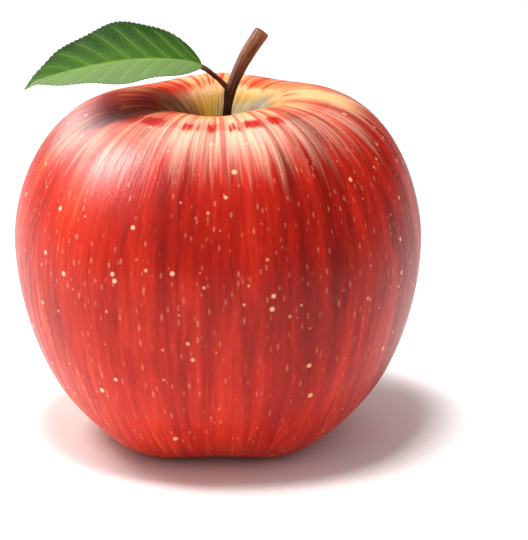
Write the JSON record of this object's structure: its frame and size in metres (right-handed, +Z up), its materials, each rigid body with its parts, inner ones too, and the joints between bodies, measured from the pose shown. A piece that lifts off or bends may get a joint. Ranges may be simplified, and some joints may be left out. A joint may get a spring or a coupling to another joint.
{
  "type": "apple",
  "caption": "Ripe round apple with a five-lobed base, a stem cavity, a bent woody stem and a leaf on the stem.",
  "frame": {"origin": "on the plane that the feet stand on, under the middle of the object's footprint", "axes": "+Z up along the fruit's core, towards the stem; the stem leans towards +X and the leaf reaches towards -X"},
  "size_m": [0.0802, 0.0796, 0.0822],
  "materials": {
    "skin": "waxy, red streaks over a yellow ground",
    "stem_wood": "dry brown bark",
    "leaf": "satin green with paler veins",
    "dried_flower": "dry and papery",
    "stamens": "dry and dark"
  },
  "bodies": {
    "root": {"fruit": "skin", "stem": "stem_wood", "leaf": "leaf", "sepal_1": "dried_flower", "sepal_2": "dried_flower", "sepal_3": "dried_flower", "sepal_4": "dried_flower", "sepal_5": "dried_flower", "stamen_tuft": "stamens"}
  },
  "joints": []
}
